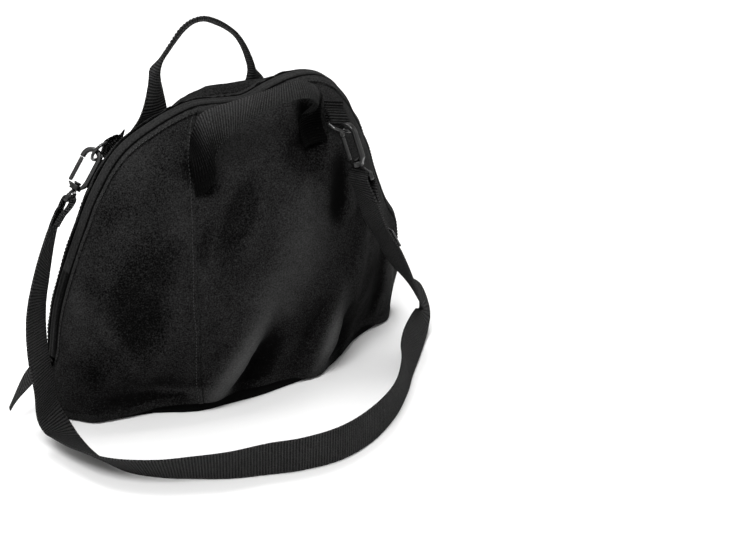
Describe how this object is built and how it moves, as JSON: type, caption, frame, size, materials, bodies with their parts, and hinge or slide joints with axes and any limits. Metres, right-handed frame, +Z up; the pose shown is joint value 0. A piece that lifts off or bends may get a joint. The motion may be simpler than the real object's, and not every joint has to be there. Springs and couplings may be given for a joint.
{
  "type": "motorcycle helmet bag",
  "caption": "Closed soft black helmet bag with a domed zip, two webbing carry handles and a clip-on shoulder strap lying in front of it.",
  "frame": {"origin": "middle of the base on the floor", "axes": "+Z up; X along the bag, with the zip slider at +X; -Y to the front panel"},
  "size_m": [0.4614, 0.3063, 0.3888],
  "materials": {
    "bag_fabric": "plain woven polyester, dull",
    "webbing": "ribbed woven webbing",
    "zip_tape": "fine woven zip tape",
    "zip_coil": "nylon coil",
    "hardware_plastic": "moulded plastic, half gloss",
    "zip_metal": "plated metal"
  },
  "bodies": {
    "bag": {"front_panel": "bag_fabric", "front_side_panel": "bag_fabric", "back_panel": "bag_fabric", "base_panel": "bag_fabric", "front_handle": "webbing", "rear_handle": "webbing", "front_ring_tab": "webbing", "rear_ring_tab": "webbing", "shoulder_strap": "webbing", "zip_end_tab": "webbing", "zip_tape_front": "zip_tape", "zip_tape_rear": "zip_tape", "zip_coil": "zip_coil", "front_d_ring": "hardware_plastic", "rear_d_ring": "hardware_plastic", "strap_slider": "hardware_plastic", "front_hook": "hardware_plastic", "front_hook_swivel": "hardware_plastic", "rear_hook": "hardware_plastic", "rear_hook_swivel": "hardware_plastic", "zip_slider": "zip_metal"},
    "front_gate": {"front_hook_gate": "hardware_plastic"},
    "rear_gate": {"rear_hook_gate": "hardware_plastic"},
    "puller": {"zip_puller": "zip_metal"}
  },
  "joints": [
    {"name": "front_hook_gate", "type": "hinge", "parent": "bag", "child": "front_gate", "pos_m": [0.10952, -0.06776, 0.23505], "axis": [0.9333, 0.359, 0.003], "range_deg": [0, 20], "stiffness_Nm_per_rad": 0.02, "springref_deg": -11.46},
    {"name": "rear_hook_gate", "type": "hinge", "parent": "bag", "child": "rear_gate", "pos_m": [-0.15035, 0.04079, 0.24418], "axis": [0.5983, 0.6077, -0.5223], "range_deg": [0, 20], "stiffness_Nm_per_rad": 0.02, "springref_deg": -11.46},
    {"name": "zip_puller", "type": "hinge", "parent": "bag", "child": "puller", "pos_m": [0.21116, 0, 0.09434], "axis": [0, -1, 0], "range_deg": [0, 150]}
  ]
}
